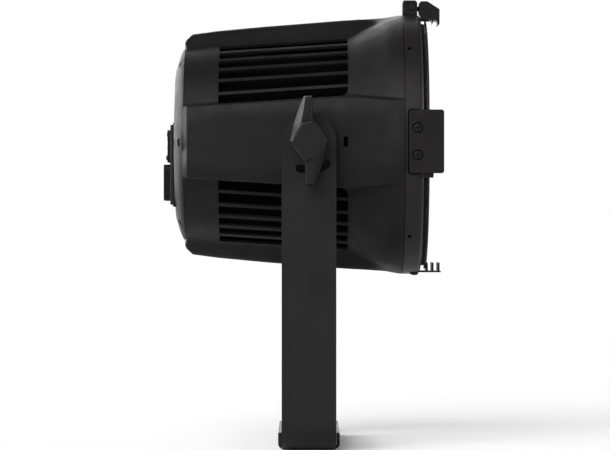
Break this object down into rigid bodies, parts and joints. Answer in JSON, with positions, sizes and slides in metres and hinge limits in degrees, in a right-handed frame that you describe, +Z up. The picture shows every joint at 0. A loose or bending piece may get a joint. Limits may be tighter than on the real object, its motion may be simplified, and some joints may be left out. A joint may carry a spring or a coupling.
{
  "type": "par can light",
  "caption": "Round stage light with a vented black head, accessory-frame rails and a top latch at its mouth, tilting in a steel hanging yoke with a wing knob on each side.",
  "frame": {"origin": "centre of the yoke's hanging hole, on the underside of the crossbar", "axes": "+X is the beam direction, +Z is up from the crossbar to the head as pictured, Y is the tilt axis"},
  "size_m": [0.2802, 0.34, 0.4492],
  "materials": {
    "yoke_paint": "fine textured black powder coat",
    "housing_plastic": "matt black moulded plastic with a light spark texture",
    "ring_paint": "satin black painted casting",
    "rail_plastic": "matt black moulded plastic",
    "knob_plastic": "satin black moulded plastic",
    "panel_plastic": "matt black plastic",
    "panel_metal": "black painted sheet",
    "display_pane": "clear tinted display cover",
    "button_plastic": "soft dark grey",
    "bright_steel": "zinc plated",
    "dark_screws": "black zinc",
    "black_rubber": "soft black",
    "window_pane": "clear",
    "lens_plastic": "clear moulded lens",
    "green_board": "solder mask",
    "white_board": "white metal-core board",
    "emitter_dome": "phosphor and clear dome",
    "sink_aluminium": "black anodised",
    "fan_plastic": "black glass-filled plastic",
    "chassis_steel": "zinc plated sheet",
    "standoff_brass": "plain",
    "socket_metal": "dark nickel finish casting",
    "inlet_plastic": "black moulded plastic with a blue cast",
    "outlet_plastic": "dark grey moulded plastic",
    "screen_plastic": "dead black felted plastic",
    "fuse_glass": "glass tube"
  },
  "bodies": {
    "yoke": {"yoke": "yoke_paint"},
    "head": {"pivot_inserts": "bright_steel", "friction_discs": "black_rubber", "main_housing": "housing_plastic", "vent_screens": "screen_plastic", "rear_gasket": "black_rubber", "rear_cover": "housing_plastic", "cover_screws": "dark_screws", "display_bezel": "panel_plastic", "display_window": "display_pane", "control_board": "green_board", "connector_plate": "panel_metal", "data_in_socket": "socket_metal", "data_out_socket": "socket_metal", "power_in_socket": "inlet_plastic", "power_out_socket": "outlet_plastic", "fuse_holder": "panel_plastic", "fuse_link": "fuse_glass", "socket_screws": "dark_screws", "front_ring": "ring_paint", "ring_screws": "dark_screws", "side_rail_right": "rail_plastic", "side_rail_left": "rail_plastic", "rail_screws": "dark_screws", "bottom_rail": "rail_plastic", "bottom_screws": "dark_screws", "latch_base": "rail_plastic", "latch_screws": "dark_screws", "latch_pin": "dark_screws", "latch_spring": "bright_steel", "window_gasket": "black_rubber", "front_window": "window_pane", "lens_holder": "panel_plastic", "lenses": "lens_plastic", "led_board": "white_board", "led_emitters": "emitter_dome", "heat_sink": "sink_aluminium", "fan_frame": "fan_plastic", "fan_screws": "dark_screws", "chassis": "chassis_steel", "power_supply": "chassis_steel", "driver_board": "green_board", "standoffs": "standoff_brass"},
    "knob_right": {"knob_right": "knob_plastic", "stud_right": "bright_steel", "washer_right": "bright_steel"},
    "knob_left": {"knob_left": "knob_plastic", "stud_left": "bright_steel", "washer_left": "bright_steel"},
    "latch_lever": {"latch_lever": "rail_plastic"},
    "menu_button_1": {"menu_button_1": "button_plastic"},
    "menu_button_2": {"menu_button_2": "button_plastic"},
    "menu_button_3": {"menu_button_3": "button_plastic"},
    "menu_button_4": {"menu_button_4": "button_plastic"},
    "release_tab": {"release_tab": "bright_steel"},
    "fuse_cap": {"fuse_cap": "panel_plastic"},
    "fan_rotor": {"fan_rotor": "fan_plastic"}
  },
  "joints": [
    {"name": "head_tilt", "type": "hinge", "parent": "yoke", "child": "head", "pos_m": [0, 0, 0.303], "axis": [0, 1, 0], "continuous": true},
    {"name": "knob_right_turn", "type": "hinge", "parent": "head", "child": "knob_right", "pos_m": [0, -0.15, 0.303], "axis": [0, 1, 0], "continuous": true},
    {"name": "knob_left_turn", "type": "hinge", "parent": "head", "child": "knob_left", "pos_m": [0, 0.15, 0.303], "axis": [0, 1, 0], "continuous": true},
    {"name": "latch_swing", "type": "hinge", "parent": "head", "child": "latch_lever", "pos_m": [0.1047, 0, 0.4433], "axis": [0, -1, 0], "range_deg": [0, 95], "stiffness_Nm_per_rad": 0.04, "springref_deg": -22.92},
    {"name": "menu_button_1_press", "type": "slide", "parent": "head", "child": "menu_button_1", "axis": [1, 0, 0], "range_m": [0, 0.0007], "stiffness_N_per_m": 300, "springref_m": -0.001},
    {"name": "menu_button_2_press", "type": "slide", "parent": "head", "child": "menu_button_2", "axis": [1, 0, 0], "range_m": [0, 0.0007], "stiffness_N_per_m": 300, "springref_m": -0.001},
    {"name": "menu_button_3_press", "type": "slide", "parent": "head", "child": "menu_button_3", "axis": [1, 0, 0], "range_m": [0, 0.0007], "stiffness_N_per_m": 300, "springref_m": -0.001},
    {"name": "menu_button_4_press", "type": "slide", "parent": "head", "child": "menu_button_4", "axis": [1, 0, 0], "range_m": [0, 0.0007], "stiffness_N_per_m": 300, "springref_m": -0.001},
    {"name": "release_tab_press", "type": "slide", "parent": "head", "child": "release_tab", "axis": [1, 0, 0], "range_m": [0, 0.001], "stiffness_N_per_m": 400, "springref_m": -0.001},
    {"name": "fuse_cap_turn", "type": "hinge", "parent": "head", "child": "fuse_cap", "pos_m": [-0.142, 0, 0.264], "axis": [1, 0, 0], "range_deg": [0, 45]},
    {"name": "fan_spin", "type": "hinge", "parent": "head", "child": "fan_rotor", "pos_m": [0.009, 0, 0.303], "axis": [1, 0, 0], "continuous": true}
  ]
}
